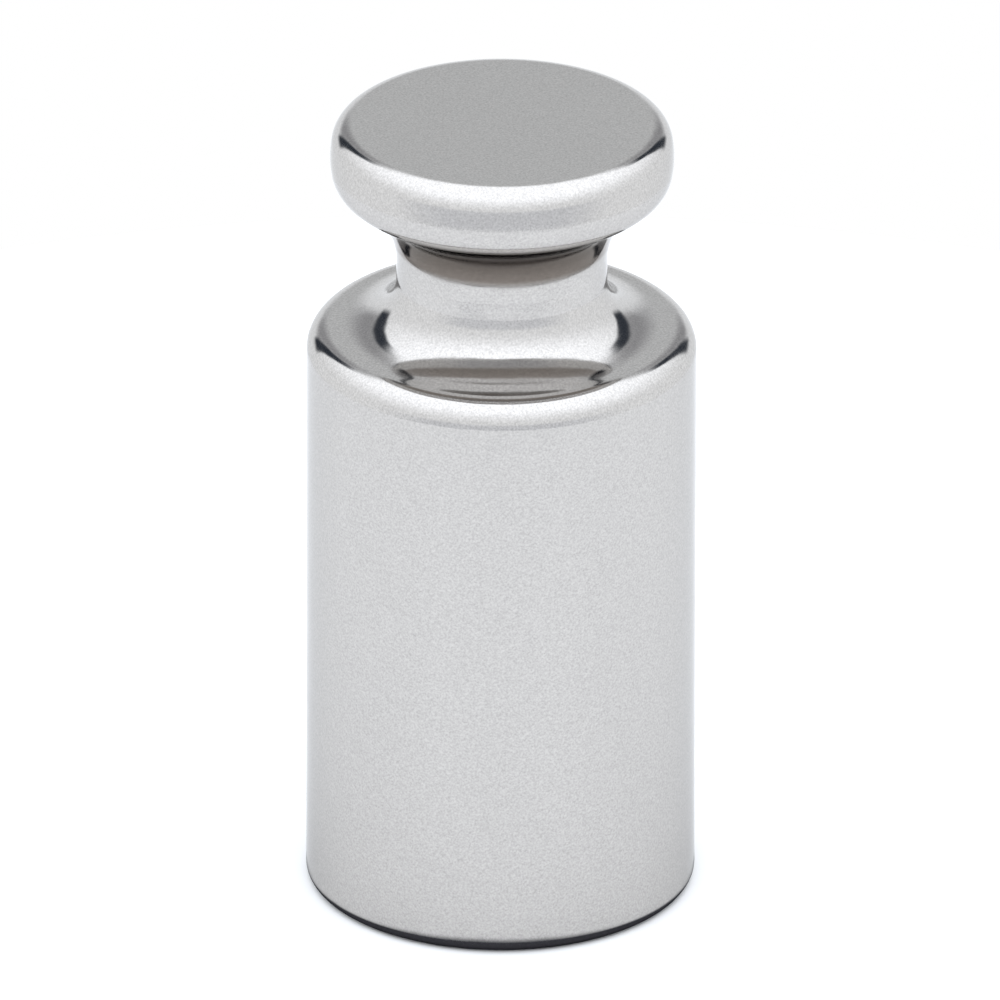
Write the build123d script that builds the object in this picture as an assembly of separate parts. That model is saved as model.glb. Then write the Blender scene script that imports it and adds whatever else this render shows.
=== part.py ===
from build123d import *
from math import acos, cos, degrees, radians
import os

# Knob weight of the 10 g size, turned and polished as one piece of stainless steel.
# Millimetres and degrees. The origin is the middle of the base, and +Z runs up through the knob.

# Body: a plain cylinder with a rounded edge at each end.
BODY_DIAMETER = 9.55
BODY_HEIGHT = 14.83
BASE_EDGE_RADIUS = 0.30
SHOULDER_EDGE_RADIUS = 0.65

# Neck: it leaves the shoulder's edge as a wide sweep, which a tighter fillet carries up into a
# short straight waist. The turn is how many of the quarter's degrees the tighter fillet takes.
NECK_DIAMETER = 5.16
NECK_FILLET_RADIUS = 1.12
NECK_FILLET_TURN = 50
WAIST_HEIGHT = 0.46

# Knob: a wider fillet runs out under a flat-topped button. Its rim is barrelled: the side is an arc
# as well, which leans by the two angles where the round underside and the top edge take over.
KNOB_FILLET_RADIUS = 2.06
KNOB_DIAMETER = 8.42
KNOB_UNDER_RADIUS = 0.77
KNOB_UNDER_LEAN = 9
KNOB_SIDE_RADIUS = 2.20
KNOB_TOP_LEAN = 11
KNOB_TOP_RADIUS = 0.60


def sweep_radius() -> float:
    """Radius of the wide sweep, which spans what the edge and the tighter fillet leave of the shoulder."""
    shoulder_width = (BODY_DIAMETER - NECK_DIAMETER) / 2 - SHOULDER_EDGE_RADIUS
    return NECK_FILLET_RADIUS + (shoulder_width - NECK_FILLET_RADIUS) / cos(radians(NECK_FILLET_TURN))


def knob_fillet_lean() -> float:
    """Degrees that the knob's fillet leans out before the round underside takes over."""
    overhang = (KNOB_DIAMETER - NECK_DIAMETER) / 2
    side_reach = KNOB_SIDE_RADIUS * (1 - cos(radians(KNOB_UNDER_LEAN)))
    under_reach = KNOB_UNDER_RADIUS * cos(radians(KNOB_UNDER_LEAN))
    arcs = KNOB_FILLET_RADIUS + KNOB_UNDER_RADIUS
    return degrees(acos((KNOB_FILLET_RADIUS + under_reach + side_reach - overhang) / arcs))


def half_section() -> Sketch:
    """Right half of the weight's section, from the axis out, every curve tangent to the next."""
    body_radius = BODY_DIAMETER / 2
    fillet_lean = knob_fillet_lean()
    with BuildSketch(Plane.XZ) as section:
        with BuildLine():
            base = Line((0, 0), (body_radius - BASE_EDGE_RADIUS, 0))
            base_edge = JernArc(base @ 1, base % 1, BASE_EDGE_RADIUS, 90)
            side = Line(base_edge @ 1, (body_radius, BODY_HEIGHT - SHOULDER_EDGE_RADIUS))
            shoulder_edge = JernArc(side @ 1, side % 1, SHOULDER_EDGE_RADIUS, 90)
            sweep_turn = 90 - NECK_FILLET_TURN
            sweep = JernArc(shoulder_edge @ 1, shoulder_edge % 1, sweep_radius(), -sweep_turn)
            neck_fillet = JernArc(sweep @ 1, sweep % 1, NECK_FILLET_RADIUS, -NECK_FILLET_TURN)
            waist = PolarLine(neck_fillet @ 1, WAIST_HEIGHT, direction=neck_fillet % 1)
            knob_fillet = JernArc(waist @ 1, waist % 1, KNOB_FILLET_RADIUS, -fillet_lean)
            under_turn = fillet_lean - KNOB_UNDER_LEAN
            knob_under = JernArc(knob_fillet @ 1, knob_fillet % 1, KNOB_UNDER_RADIUS, under_turn)
            side_turn = KNOB_UNDER_LEAN + KNOB_TOP_LEAN
            knob_side = JernArc(knob_under @ 1, knob_under % 1, KNOB_SIDE_RADIUS, side_turn)
            knob_top_edge = JernArc(knob_side @ 1, knob_side % 1, KNOB_TOP_RADIUS, 90 - KNOB_TOP_LEAN)
            top = Line(knob_top_edge @ 1, (0, (knob_top_edge @ 1).Y))
            Line(top @ 1, base @ 0)
        make_face()
    return section.sketch


weight = revolve(half_section(), axis=Axis.Z)
weight.label = "weight"

os.makedirs("parts", exist_ok=True)
export_step(weight, "parts/weight.step")
size = weight.bounding_box().size
print(f"weight: {weight.volume:.1f} mm3, {size.X:.2f} mm across, {size.Z:.2f} mm tall")
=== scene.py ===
"""Looks for the polished knob weight: the turned piece, its finish, the studio round it and the camera."""

import logging
import math
from collections.abc import Sequence
from dataclasses import dataclass, replace
from enum import Enum

import bmesh
import bpy
from mathutils import Matrix, Vector

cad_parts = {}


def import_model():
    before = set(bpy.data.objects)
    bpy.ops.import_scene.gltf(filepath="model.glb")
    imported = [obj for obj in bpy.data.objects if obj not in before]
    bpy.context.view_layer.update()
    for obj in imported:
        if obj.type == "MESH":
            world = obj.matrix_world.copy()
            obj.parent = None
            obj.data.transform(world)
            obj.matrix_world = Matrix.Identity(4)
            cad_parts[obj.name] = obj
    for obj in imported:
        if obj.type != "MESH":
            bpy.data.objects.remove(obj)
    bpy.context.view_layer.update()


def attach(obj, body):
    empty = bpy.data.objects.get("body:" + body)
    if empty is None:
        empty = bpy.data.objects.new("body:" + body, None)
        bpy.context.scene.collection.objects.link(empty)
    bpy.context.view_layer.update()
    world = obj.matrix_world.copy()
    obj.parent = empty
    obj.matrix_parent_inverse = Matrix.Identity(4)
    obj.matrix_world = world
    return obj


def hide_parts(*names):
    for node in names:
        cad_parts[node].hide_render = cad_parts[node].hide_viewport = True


log = logging.getLogger("knob_weight")

MM = 0.001
QUARTER_TURN = 90.0
HALF_TURN = 180.0
MERGE_DISTANCE = 0.0001 * MM

Colour = tuple[float, float, float]
Source = bpy.types.NodeSocket | float | Sequence[float]


def place_mesh(shape: bmesh.types.BMesh, name: str) -> bpy.types.Object:
    """Turns a finished bmesh into an object at the origin of the scene, and frees the bmesh.

    Args:
        shape: The finished bmesh.
        name: Name of the object and of its mesh.

    Returns:
        The new object.
    """
    mesh = bpy.data.meshes.new(name)
    shape.to_mesh(mesh)
    shape.free()
    piece = bpy.data.objects.new(name, mesh)
    bpy.context.collection.objects.link(piece)
    return piece


class Turn(Enum):
    """Which way a section's outline bends, seen with the axis on the left and the outline drawn upwards."""

    IN = 1
    OUT = -1


@dataclass
class SectionPen:
    """Draws a half section as a chain of tangent lines and arcs in the XZ plane of a bmesh.

    Attributes:
        mesh: The bmesh that is drawn in.
        tip: The last vertex drawn.
        heading: The direction that the pen points in, in radians up from +X.
        arc_step: The turn, in degrees, that one edge of an arc covers.
        fewest_steps: The fewest edges that an arc is drawn with.
        margin: How far from a line's end its extra vertices lie, so that shading stays flat.
    """

    mesh: bmesh.types.BMesh
    tip: bmesh.types.BMVert
    heading: float = 0.0
    arc_step: float = 3.0
    fewest_steps: int = 4
    margin: float = 0.02 * MM

    def direction(self) -> Vector:
        """Returns the pen's heading as a unit vector."""
        return Vector((math.cos(self.heading), 0.0, math.sin(self.heading)))

    def step(self, length: float) -> None:
        """Draws one straight edge.

        Args:
            length: Length of the edge, in metres.
        """
        new_tip = bmesh.ops.extrude_vert_indiv(self.mesh, verts=[self.tip])["verts"][0]
        bmesh.ops.translate(self.mesh, verts=[new_tip], vec=self.direction() * length)
        self.tip = new_tip

    def line(self, length: float) -> None:
        """Draws a straight stretch of a given length in metres, with a short edge at each end."""
        for part in (self.margin, length - 2 * self.margin, self.margin):
            self.step(part)

    def arc(self, radius: float, degrees: float, turn: Turn) -> None:
        """Draws an arc that leaves the last stretch in line.

        Args:
            radius: Radius of the arc, in metres.
            degrees: How far the outline turns.
            turn: Whether it turns in towards the axis or out from it.
        """
        side = turn.value
        to_centre = Vector((-math.sin(self.heading), 0.0, math.cos(self.heading))) * side
        steps = max(self.fewest_steps, round(degrees / self.arc_step))
        spun = bmesh.ops.spin(
            self.mesh, geom=[self.tip], cent=self.tip.co + to_centre * radius,
            axis=(0.0, -1.0, 0.0), angle=math.radians(degrees) * side, steps=steps,
        )
        self.tip = next(item for item in spun["geom_last"] if isinstance(item, bmesh.types.BMVert))
        self.heading += math.radians(degrees) * side


@dataclass
class KnobWeight:
    """The weight, turned as one piece of steel: body, neck and knob.

    Sizes are in metres and angles in degrees. The outline is a chain of lines and arcs, each of which
    leaves the last one in line, because a polished surface shows every break.

    Attributes:
        body_diameter: Width of the plain cylinder.
        body_height: Height of the body up to the shoulder.
        base_edge_radius: Rounding between the base and the side.
        shoulder_edge_radius: Rounding between the side and the neck's foot.
        neck_diameter: Width of the neck at its waist.
        neck_fillet_radius: The tighter arc of the neck's foot, which ends at the waist.
        neck_fillet_turn: How much of the foot's quarter turn the tighter arc takes.
        waist_height: Length of the straight waist.
        knob_fillet_radius: The arc from the waist out under the knob.
        knob_diameter: Width of the knob.
        knob_under_radius: Rounding of the knob's underside.
        knob_under_lean: Angle below level at which the underside takes over from the side.
        knob_side_radius: Barrelling of the knob's side.
        knob_top_lean: Angle above level at which the top edge takes over from the side.
        knob_top_radius: Rounding of the knob's top edge.
        segments: Number of steps round the axis.
    """

    body_diameter: float = 9.55 * MM
    body_height: float = 14.83 * MM
    base_edge_radius: float = 0.30 * MM
    shoulder_edge_radius: float = 0.65 * MM
    neck_diameter: float = 5.16 * MM
    neck_fillet_radius: float = 1.12 * MM
    neck_fillet_turn: float = 50.0
    waist_height: float = 0.46 * MM
    knob_fillet_radius: float = 2.06 * MM
    knob_diameter: float = 8.42 * MM
    knob_under_radius: float = 0.77 * MM
    knob_under_lean: float = 9.0
    knob_side_radius: float = 2.20 * MM
    knob_top_lean: float = 11.0
    knob_top_radius: float = 0.60 * MM
    segments: int = 288

    def build(self) -> bpy.types.Object:
        """Spins the half section into a closed mesh.

        Returns:
            The weight's object, with its place in its mesh.
        """
        shape = bmesh.new()
        self.draw_section(shape)
        bmesh.ops.spin(
            shape, geom=shape.verts[:] + shape.edges[:], cent=(0.0, 0.0, 0.0), axis=(0.0, 0.0, 1.0),
            angle=math.tau, steps=self.segments, use_merge=True,
        )
        bmesh.ops.remove_doubles(shape, verts=shape.verts[:], dist=MERGE_DISTANCE)
        bmesh.ops.recalc_face_normals(shape, faces=shape.faces[:])
        for face in shape.faces:
            face.smooth = True
        return place_mesh(shape, "knob_weight")

    def dress(self, piece: bpy.types.Object, finish: "PolishedSteel") -> None:
        """Gives the weight its finish, and says what it rides on and what it stands for.

        Args:
            piece: The weight's object.
            finish: The finish of its whole surface.
        """
        piece.data.materials.append(finish.material())
        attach(piece, "root")
        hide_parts("weight")

    def draw_section(self, shape: bmesh.types.BMesh) -> None:
        """Draws the outline from the middle of the base, round the body, neck and knob, to the top.

        Args:
            shape: The empty bmesh to draw in.
        """
        lean, under, top = self.fillet_lean(), self.knob_under_lean, self.knob_top_lean
        side_centre = self.knob_diameter / 2 - self.knob_side_radius
        edge_reach = (self.knob_side_radius - self.knob_top_radius) * math.cos(math.radians(top))
        pen = SectionPen(shape, shape.verts.new((0.0, 0.0, 0.0)))
        pen.line(self.body_diameter / 2 - self.base_edge_radius)
        pen.arc(self.base_edge_radius, QUARTER_TURN, Turn.IN)
        pen.line(self.body_height - self.base_edge_radius - self.shoulder_edge_radius)
        pen.arc(self.shoulder_edge_radius, QUARTER_TURN, Turn.IN)
        pen.arc(self.foot_radius(), QUARTER_TURN - self.neck_fillet_turn, Turn.OUT)
        pen.arc(self.neck_fillet_radius, self.neck_fillet_turn, Turn.OUT)
        pen.line(self.waist_height)
        pen.arc(self.knob_fillet_radius, lean, Turn.OUT)
        pen.arc(self.knob_under_radius, lean - under, Turn.IN)
        pen.arc(self.knob_side_radius, under + top, Turn.IN)
        pen.arc(self.knob_top_radius, QUARTER_TURN - top, Turn.IN)
        pen.line(side_centre + edge_reach)

    def foot_radius(self) -> float:
        """Works out the wide sweep that starts the neck at the shoulder's edge.

        Returns:
            The sweep's radius, which spans what the edge and the tighter fillet leave of the shoulder.
        """
        reach = (self.body_diameter - self.neck_diameter) / 2 - self.shoulder_edge_radius
        spare = reach - self.neck_fillet_radius
        return self.neck_fillet_radius + spare / math.cos(math.radians(self.neck_fillet_turn))

    def fillet_lean(self) -> float:
        """Works out how far the knob's fillet leans out before its round underside takes over.

        Returns:
            The lean in degrees.
        """
        overhang = (self.knob_diameter - self.neck_diameter) / 2
        under = math.cos(math.radians(self.knob_under_lean))
        rim = self.knob_under_radius * under + self.knob_side_radius * (1 - under)
        arcs = self.knob_fillet_radius + self.knob_under_radius
        return math.degrees(math.acos((self.knob_fillet_radius + rim - overhang) / arcs))


class MixSocket(Enum):
    """The sockets of a Mix node that mixes colours, by their place among its sockets."""

    FACTOR = 0
    FIRST = 6
    SECOND = 7
    RESULT = 2


@dataclass
class NodeBench:
    """Lays out the nodes of one node tree.

    Attributes:
        tree: The tree that the nodes are added to.
    """

    tree: bpy.types.NodeTree

    def add(self, kind: str, **settings: object) -> bpy.types.Node:
        """Adds a node and sets its properties.

        Args:
            kind: The node's type name.
            **settings: Properties of the node, by name.

        Returns:
            The new node.
        """
        node = self.tree.nodes.new(kind)
        for name, value in settings.items():
            setattr(node, name, value)
        return node

    def join(self, source: bpy.types.NodeSocket, target: bpy.types.NodeSocket) -> None:
        """Links two sockets."""
        self.tree.links.new(source, target)

    def feed(self, source: Source, target: bpy.types.NodeSocket) -> None:
        """Links a socket, or sets a number or a colour, on an input.

        Args:
            source: A socket to link, a number, or a colour of three parts.
            target: The input that takes it.
        """
        if isinstance(source, bpy.types.NodeSocket):
            self.join(source, target)
        elif isinstance(source, (int, float)):
            target.default_value = source
        else:
            target.default_value = (*source, 1.0)

    def place(self) -> bpy.types.NodeSocket:
        """Adds the Object coordinates of the point that is shaded."""
        return self.add("ShaderNodeTexCoord").outputs["Object"]

    def axes(self, place: bpy.types.NodeSocket) -> bpy.types.NodeOutputs:
        """Adds the split of a vector into its X, Y and Z.

        Args:
            place: The vector.

        Returns:
            The three parts, by name.
        """
        node = self.add("ShaderNodeSeparateXYZ")
        self.join(place, node.inputs[0])
        return node.outputs

    def mapping(
        self, place: bpy.types.NodeSocket, turn: Sequence[float] = (0.0, 0.0, 0.0),
        scale: Sequence[float] = (1.0, 1.0, 1.0),
    ) -> bpy.types.NodeSocket:
        """Adds a turn and a scaling of a pattern's coordinates.

        Args:
            place: The coordinates.
            turn: The turn about X, Y and Z, in radians.
            scale: The factors along X, Y and Z.

        Returns:
            The changed coordinates.
        """
        node = self.add("ShaderNodeMapping")
        self.join(place, node.inputs["Vector"])
        node.inputs["Rotation"].default_value = turn
        node.inputs["Scale"].default_value = scale
        return node.outputs["Vector"]

    def maths(self, operation: str, *values: Source) -> bpy.types.NodeSocket:
        """Adds a Math node.

        Args:
            operation: The node's operation.
            *values: What goes into its inputs, in order.

        Returns:
            The result.
        """
        node = self.add("ShaderNodeMath", operation=operation)
        for value, target in zip(values, node.inputs):
            self.feed(value, target)
        return node.outputs[0]

    def fade(self, value: bpy.types.NodeSocket, start: float, end: float) -> bpy.types.NodeSocket:
        """Adds a smooth step.

        Args:
            value: The value that is read.
            start: Where the step is still 0.
            end: Where the step has reached 1, which may lie below the start.

        Returns:
            The step.
        """
        node = self.add("ShaderNodeMapRange", interpolation_type="SMOOTHSTEP")
        self.join(value, node.inputs["Value"])
        node.inputs["From Min"].default_value = start
        node.inputs["From Max"].default_value = end
        return node.outputs["Result"]

    def spread(
        self, value: bpy.types.NodeSocket, start: float, end: float, low: float = 0.0, high: float = 1.0,
    ) -> bpy.types.NodeSocket:
        """Adds a straight change from one level to another.

        Args:
            value: The value that is read.
            start: The value at which the result is low.
            end: The value at which the result is high.
            low: The result at the start and before it.
            high: The result at the end and past it.

        Returns:
            The result.
        """
        node = self.add("ShaderNodeMapRange")
        self.join(value, node.inputs["Value"])
        for name, number in (("From Min", start), ("From Max", end), ("To Min", low), ("To Max", high)):
            node.inputs[name].default_value = number
        return node.outputs["Result"]

    def noise(self, place: bpy.types.NodeSocket, scale: float, detail: float) -> bpy.types.NodeSocket:
        """Adds a noise texture.

        Args:
            place: The coordinates that it reads.
            scale: How many of its features there are to a metre.
            detail: How many finer layers are added to it.

        Returns:
            The noise, around 0.5.
        """
        node = self.add("ShaderNodeTexNoise")
        self.join(place, node.inputs["Vector"])
        node.inputs["Scale"].default_value = scale
        node.inputs["Detail"].default_value = detail
        return node.outputs[0]

    def relief(
        self, level: bpy.types.NodeSocket, depth: float, under: bpy.types.NodeSocket | None = None,
    ) -> bpy.types.NodeSocket:
        """Adds a bump.

        Args:
            level: Height of the surface, from 0 to 1.
            depth: The height in metres that 1 stands for.
            under: The normal of another bump, which this one lies on.

        Returns:
            The bumped normal.
        """
        node = self.add("ShaderNodeBump")
        self.join(level, node.inputs["Height"])
        node.inputs["Strength"].default_value = 1.0
        node.inputs["Distance"].default_value = depth
        if under is not None:
            self.join(under, node.inputs["Normal"])
        return node.outputs["Normal"]

    def mix(self, factor: bpy.types.NodeSocket, first: Source, second: Source) -> bpy.types.NodeSocket:
        """Adds a mix of two colours.

        Args:
            factor: Share of the second colour.
            first: The colour at factor 0.
            second: The colour at factor 1.

        Returns:
            The mixed colour.
        """
        node = self.add("ShaderNodeMix", data_type="RGBA")
        self.join(factor, node.inputs[MixSocket.FACTOR.value])
        self.feed(first, node.inputs[MixSocket.FIRST.value])
        self.feed(second, node.inputs[MixSocket.SECOND.value])
        return node.outputs[MixSocket.RESULT.value]

    def tint(self, colour: bpy.types.NodeSocket, share: bpy.types.NodeSocket) -> bpy.types.NodeSocket:
        """Adds a product of two colours.

        Args:
            colour: The colour that is changed.
            share: What is left of each of its parts.

        Returns:
            The product.
        """
        node = self.add("ShaderNodeMix", data_type="RGBA", blend_type="MULTIPLY")
        node.inputs[MixSocket.FACTOR.value].default_value = 1.0
        self.join(colour, node.inputs[MixSocket.FIRST.value])
        self.join(share, node.inputs[MixSocket.SECOND.value])
        return node.outputs[MixSocket.RESULT.value]

    def length(self, place: bpy.types.NodeSocket) -> bpy.types.NodeSocket:
        """Adds the length of a vector.

        Args:
            place: The vector.

        Returns:
            Its length.
        """
        node = self.add("ShaderNodeVectorMath", operation="LENGTH")
        self.join(place, node.inputs[0])
        return node.outputs["Value"]

    def window(
        self, panel: "SkyPanel", height: bpy.types.NodeSocket, bearing: bpy.types.NodeSocket,
    ) -> bpy.types.NodeSocket:
        """Adds a mask of one panel of the surroundings.

        Args:
            panel: The panel.
            height: Height of a direction above the horizon, in degrees.
            bearing: Bearing of the direction, in degrees.

        Returns:
            A value that is 1 inside the panel and 0 outside it.
        """
        half, half_side = panel.soft / 2, panel.soft_side / 2
        above = self.fade(height, panel.low - half, panel.low + half)
        below = self.fade(height, panel.high + half, panel.high - half)
        turned = self.maths("SUBTRACT", bearing, panel.bearing)
        aside = self.maths("ABSOLUTE", self.maths("WRAP", turned, HALF_TURN, -HALF_TURN))
        within = self.fade(aside, panel.half_width + half_side, panel.half_width - half_side)
        return self.maths("MULTIPLY", self.maths("MULTIPLY", above, below), within)


@dataclass(frozen=True)
class PolishedSteel:
    """Mirror-polished stainless steel with the faint grain and waviness that hand polishing leaves.

    Attributes:
        colour: What the steel reflects, a little warm.
        knob_shade_share: Share of the colour that is left under the knob, a painted shade for the darker
            reflections there.
        knob_shade_low: Height at which this painted shade starts, in metres.
        knob_shade_high: Height at which it ends.
        knob_shade_soft: Height over which it starts and ends.
        edge_tint: Share of the bright rim of a glancing view that is kept.
        roughness: Least and greatest roughness of the surface.
        grain_size: Size of one speck of the grain, in metres.
        grain: How far a speck is lighter or darker, as a share of the colour.
        grain_turn: Turn of the grain in radians, so that no flat face lies along its grid.
        grain_detail: Layers of finer specks.
        grain_span: The noise levels between which a speck goes from dark to light.
        grain_depth: Height of the specks, in metres.
        wave_size: Size of one swell of the surface, in metres.
        wave_detail: Layers of smaller swells.
        wave_span: The noise levels between which a swell goes from least to greatest roughness.
        wave_depth: Height of the swells, in metres.
    """

    colour: Colour = (0.466, 0.452, 0.438)
    knob_shade_share: Colour = (0.50, 0.46, 0.43)
    knob_shade_low: float = 17.02 * MM
    knob_shade_high: float = 18.15 * MM
    knob_shade_soft: float = 0.20 * MM
    edge_tint: tuple[float, float, float, float] = (0.77, 0.77, 0.77, 1.0)
    roughness: tuple[float, float] = (0.07, 0.13)
    grain_size: float = 0.05 * MM
    grain: float = 0.18
    grain_turn: tuple[float, float, float] = (0.6, 0.4, 0.3)
    grain_detail: float = 2.0
    grain_span: tuple[float, float] = (0.25, 0.75)
    grain_depth: float = 0.0001 * MM
    wave_size: float = 0.8 * MM
    wave_detail: float = 1.0
    wave_span: tuple[float, float] = (0.3, 0.7)
    wave_depth: float = 0.006 * MM

    def material(self) -> bpy.types.Material:
        """Makes the steel's material.

        Returns:
            A node material that reads Object coordinates.
        """
        steel = bpy.data.materials.new("polished_steel")
        steel.use_nodes = True
        bench = NodeBench(steel.node_tree)
        shader = steel.node_tree.nodes["Principled BSDF"]
        place = bench.place()
        turned = bench.mapping(place, turn=self.grain_turn)
        specks = bench.noise(turned, 1 / self.grain_size, self.grain_detail)
        swells = bench.noise(turned, 1 / self.wave_size, self.wave_detail)
        swollen = bench.relief(swells, self.wave_depth)
        grain_and_painted_shade = bench.tint(self.grain_colour(bench, specks), self.knob_shade_cut(bench, place))
        bench.join(grain_and_painted_shade, shader.inputs["Base Color"])
        bench.join(bench.spread(swells, *self.wave_span, *self.roughness), shader.inputs["Roughness"])
        bench.join(bench.relief(specks, self.grain_depth, swollen), shader.inputs["Normal"])
        shader.inputs["Metallic"].default_value = 1.0
        shader.inputs["Specular Tint"].default_value = self.edge_tint
        return steel

    def grain_colour(self, bench: NodeBench, specks: bpy.types.NodeSocket) -> bpy.types.NodeSocket:
        """Adds the steel's colour, a little darker or lighter from speck to speck.

        Args:
            bench: The bench of the steel's material.
            specks: The noise of the grain.

        Returns:
            The colour.
        """
        dark = [part * (1 - self.grain) for part in self.colour]
        light = [part * (1 + self.grain) for part in self.colour]
        return bench.mix(bench.spread(specks, *self.grain_span), dark, light)

    def knob_shade_cut(self, bench: NodeBench, place: bpy.types.NodeSocket) -> bpy.types.NodeSocket:
        """Adds the share of the colour that is left at each height, a painted shade under the knob.

        Args:
            bench: The bench of the steel's material.
            place: The Object coordinates.

        Returns:
            The share, which is 1 everywhere but under the knob.
        """
        # Painted shade: the steel's colour is darkened in a band under the knob, standing in for the darker
        # reflections there.
        height = bench.axes(place)["Z"]
        above = bench.fade(height, self.knob_shade_low, self.knob_shade_low + self.knob_shade_soft)
        below = bench.fade(height, self.knob_shade_high, self.knob_shade_high - self.knob_shade_soft)
        return bench.mix(bench.maths("MULTIPLY", above, below), (1.0, 1.0, 1.0), self.knob_shade_share)


@dataclass(frozen=True)
class SkyPanel:
    """One lit or dark panel of the surroundings, by the directions that it covers as seen from the weight.

    Attributes:
        radiance: Colour times brightness, where 1 is white.
        bearing: Direction of its middle, in degrees from the camera's side, to the right.
        half_width: Half its width in degrees of bearing.
        low: Height of its lower edge, in degrees above the horizon.
        high: Height of its upper edge.
        soft: Height in degrees over which its lower and upper edges fade.
        soft_side: Width in degrees over which its sides fade.
    """

    radiance: Colour
    bearing: float
    half_width: float
    low: float
    high: float
    soft: float
    soft_side: float

    def facing(self) -> "SkyPanel":
        """Returns the same panel on the other side, left for right."""
        return replace(self, bearing=-self.bearing)


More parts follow.
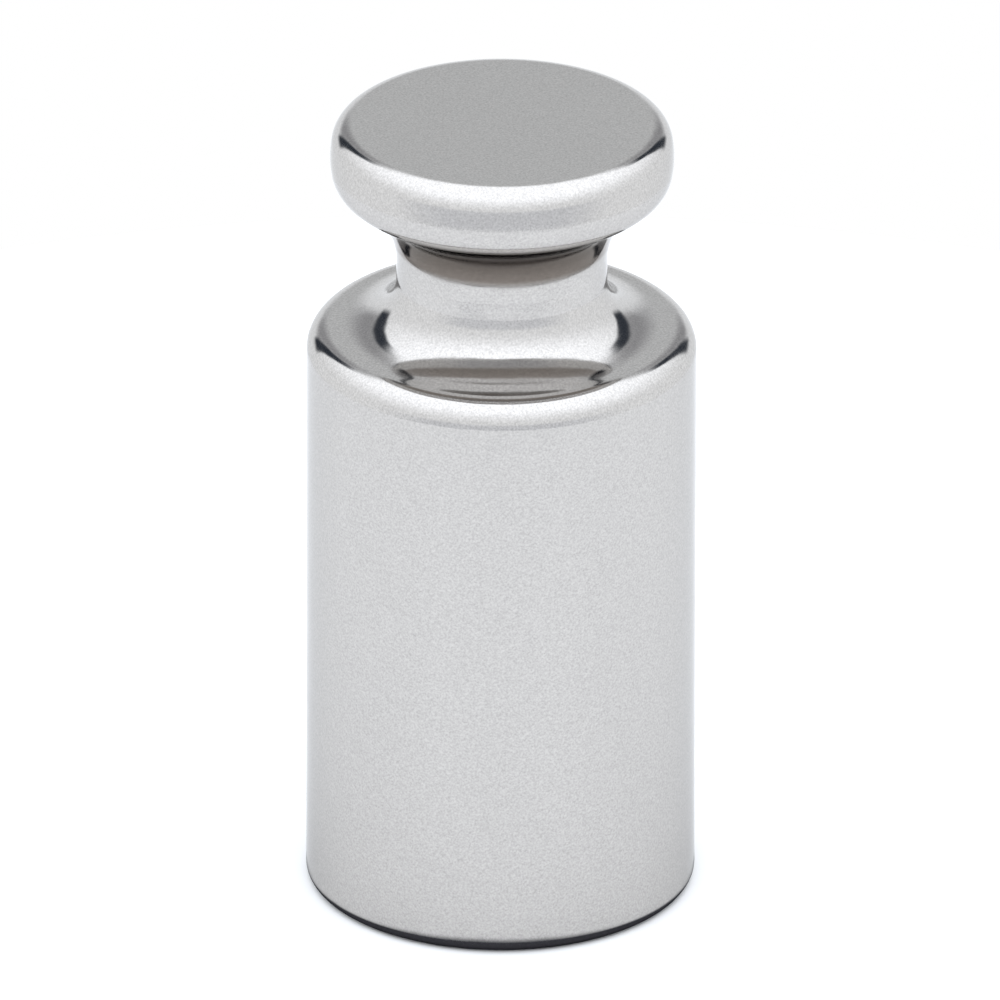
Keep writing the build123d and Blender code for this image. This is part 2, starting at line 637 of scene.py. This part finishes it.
@dataclass
class Studio:
    """A white tent that brightens overhead, over a round white table, with a screen and flags behind.

    Attributes:
        tent_low: Radiance of the tent at the horizon, where 1 is white.
        tent_high: Radiance of the tent overhead.
        brightens: The heights in degrees between which the one turns into the other.
        front: A dimmer stretch below the horizon, on the camera's side.
        screen: The grey screen behind the weight, which its flat top mirrors.
        shade: One of the screen's two darker ends. The other faces it.
        flag: One of the two black flags beside the screen. The other faces it.
        table_radius: Radius of the table top, in metres.
        table_segments: Number of sides of the table top.
        table_colour: Paint of the table top.
        table_roughness: Roughness of the paint.
        painted_shadow_colour: Colour of the painted contact shadow on the table, round the weight's rounded
            edge.
        painted_shadow_seen: Where that painted shadow starts to fade and where it ends, as the camera sees
            it.
        painted_shadow_mirrored: The same in reflections, where the painted shadow is wider and stands for
            the whole dark gap.
        painted_shadow_squeeze: How much narrower the mirrored painted shadow is from side to side.
    """

    tent_low: Colour = (1.36, 1.40, 1.45)
    tent_high: Colour = (2.12, 2.20, 2.32)
    brightens: tuple[float, float] = (3.0, 67.0)
    front: SkyPanel = SkyPanel(
        (1.07, 1.11, 1.18), bearing=0, half_width=58, low=-29, high=-2, soft=9, soft_side=50)
    screen: SkyPanel = SkyPanel(
        (0.90, 0.93, 0.96), bearing=180, half_width=36, low=12, high=46, soft=14, soft_side=12)
    shade: SkyPanel = SkyPanel(
        (0.52, 0.53, 0.56), bearing=156, half_width=9, low=9, high=43, soft=14, soft_side=16)
    flag: SkyPanel = SkyPanel(
        (0.05, 0.06, 0.08), bearing=143.5, half_width=6, low=4, high=42, soft=10, soft_side=4)
    table_radius: float = 38 * MM
    table_segments: int = 128
    table_colour: Colour = (0.82, 0.82, 0.82)
    table_roughness: float = 0.9
    painted_shadow_colour: Colour = (0.06, 0.06, 0.07)
    painted_shadow_seen: tuple[float, float] = (4.46 * MM, 4.56 * MM)
    painted_shadow_mirrored: tuple[float, float] = (5.35 * MM, 5.75 * MM)
    painted_shadow_squeeze: float = 1.13

    def build(self) -> None:
        """Makes the surroundings and the table."""
        self.build_world()
        self.build_table()

    def panels(self) -> list[SkyPanel]:
        """Returns the panels from the first laid down to the last, with both of each pair."""
        return [self.front, self.screen, self.shade, self.shade.facing(), self.flag, self.flag.facing()]

    def build_world(self) -> None:
        """Makes the light of the tent and its panels, plain white to the camera."""
        world = bpy.data.worlds.new("tent")
        bpy.context.scene.world = world
        world.use_nodes = True
        world.node_tree.nodes.clear()
        bench = NodeBench(world.node_tree)
        light = bench.add("ShaderNodeBackground")
        bench.join(self.tent_light(bench), light.inputs["Color"])
        white = bench.add("ShaderNodeBackground")
        bench.feed((1.0, 1.0, 1.0), white.inputs["Color"])
        both = bench.add("ShaderNodeMixShader")
        bench.join(bench.add("ShaderNodeLightPath").outputs["Is Camera Ray"], both.inputs["Fac"])
        bench.join(light.outputs[0], both.inputs[1])
        bench.join(white.outputs[0], both.inputs[2])
        out = bench.add("ShaderNodeOutputWorld")
        bench.join(both.outputs[0], out.inputs["Surface"])

    def tent_light(self, bench: NodeBench) -> bpy.types.NodeSocket:
        """Adds the radiance of the tent and of the panels laid over it.

        Args:
            bench: The bench of the world.

        Returns:
            The colour that comes from each direction.
        """
        direction = bench.axes(bench.add("ShaderNodeTexCoord").outputs["Generated"])
        in_degrees = math.degrees(1.0)
        height = bench.maths("MULTIPLY", bench.maths("ARCSINE", direction["Z"]), in_degrees)
        to_camera = bench.maths("MULTIPLY", direction["Y"], -1.0)
        bearing = bench.maths("MULTIPLY", bench.maths("ARCTAN2", direction["X"], to_camera), in_degrees)
        colour = bench.mix(bench.fade(height, *self.brightens), self.tent_low, self.tent_high)
        for panel in self.panels():
            colour = bench.mix(bench.window(panel, height, bearing), colour, panel.radiance)
        return colour

    def build_table(self) -> None:
        """Makes the table top, with its middle under the weight."""
        shape = bmesh.new()
        bmesh.ops.create_circle(
            shape, cap_ends=True, segments=self.table_segments, radius=self.table_radius)
        table = place_mesh(shape, "table_top")
        table.data.materials.append(self.table_paint())

    def table_paint(self) -> bpy.types.Material:
        """Makes the table's white paint, with a painted shadow round the weight's foot.

        Returns:
            A node material that reads Object coordinates.
        """
        paint = bpy.data.materials.new("white_table")
        paint.use_nodes = True
        bench = NodeBench(paint.node_tree)
        shader = paint.node_tree.nodes["Principled BSDF"]
        place = bench.place()
        # Painted contact shadow: a dark patch round the foot, hidden under it for the camera and wider for
        # glossy rays, so the weight's edge mirrors a dark gap.
        seen = bench.fade(bench.length(place), *self.painted_shadow_seen)
        squeezed = bench.mapping(place, scale=(self.painted_shadow_squeeze, 1.0, 1.0))
        mirrored = bench.fade(bench.length(squeezed), *self.painted_shadow_mirrored)
        open_air = bench.mix(bench.add("ShaderNodeLightPath").outputs["Is Glossy Ray"], seen, mirrored)
        bench.join(bench.mix(open_air, self.painted_shadow_colour, self.table_colour), shader.inputs["Base Color"])
        shader.inputs["Roughness"].default_value = self.table_roughness
        shader.inputs["Specular IOR Level"].default_value = 0.0
        return paint


@dataclass(frozen=True)
class StudioCamera:
    """A long lens that looks down on the weight from the front. Lengths are in metres.

    Attributes:
        elevation: How far it looks down, in degrees.
        roll: How far it is turned about its line of sight, in degrees.
        distance: How far it stands from the point that it aims at.
        aim_side: How far right of the axis that point is.
        aim_height: How high that point is.
        frame_width: Width of what it sees at that point.
        sensor: Width of its sensor, in millimetres.
        clip: The nearest and the farthest distance that it sees.
    """

    elevation: float = 25.45
    roll: float = 0.15
    distance: float = 1.0
    aim_side: float = -0.03 * MM
    aim_height: float = 10.05 * MM
    frame_width: float = 24.5 * MM
    sensor: float = 36.0
    clip: tuple[float, float] = (0.1, 10.0)

    def build(self) -> bpy.types.Object:
        """Places the camera and makes it the scene's.

        Returns:
            The camera's object.
        """
        data = bpy.data.cameras.new("studio_camera")
        data.sensor_width = self.sensor
        data.lens = self.sensor * self.distance / self.frame_width
        data.clip_start, data.clip_end = self.clip
        camera = bpy.data.objects.new("studio_camera", data)
        bpy.context.collection.objects.link(camera)
        tilt = math.radians(self.elevation)
        back = Vector((0.0, -math.cos(tilt), math.sin(tilt)))
        aim = Vector((self.aim_side, 0.0, self.aim_height))
        turn = back.to_track_quat("Z", "Y").to_matrix() @ Matrix.Rotation(math.radians(self.roll), 3, "Z")
        camera.matrix_world = Matrix.Translation(aim + back * self.distance) @ turn.to_4x4()
        bpy.context.scene.camera = camera
        return camera


def main() -> None:
    """Loads the frame, sets up the camera and the studio, then builds and dresses the weight."""
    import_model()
    StudioCamera().build()
    Studio().build()
    weight = KnobWeight()
    piece = weight.build()
    weight.dress(piece, PolishedSteel())
    log.info("%s: %d faces", piece.name, len(piece.data.polygons))
    bpy.context.scene.view_settings.view_transform = "Standard"


if __name__ == "__main__":
    logging.basicConfig(level=logging.INFO, format="%(name)s: %(message)s")
    main()
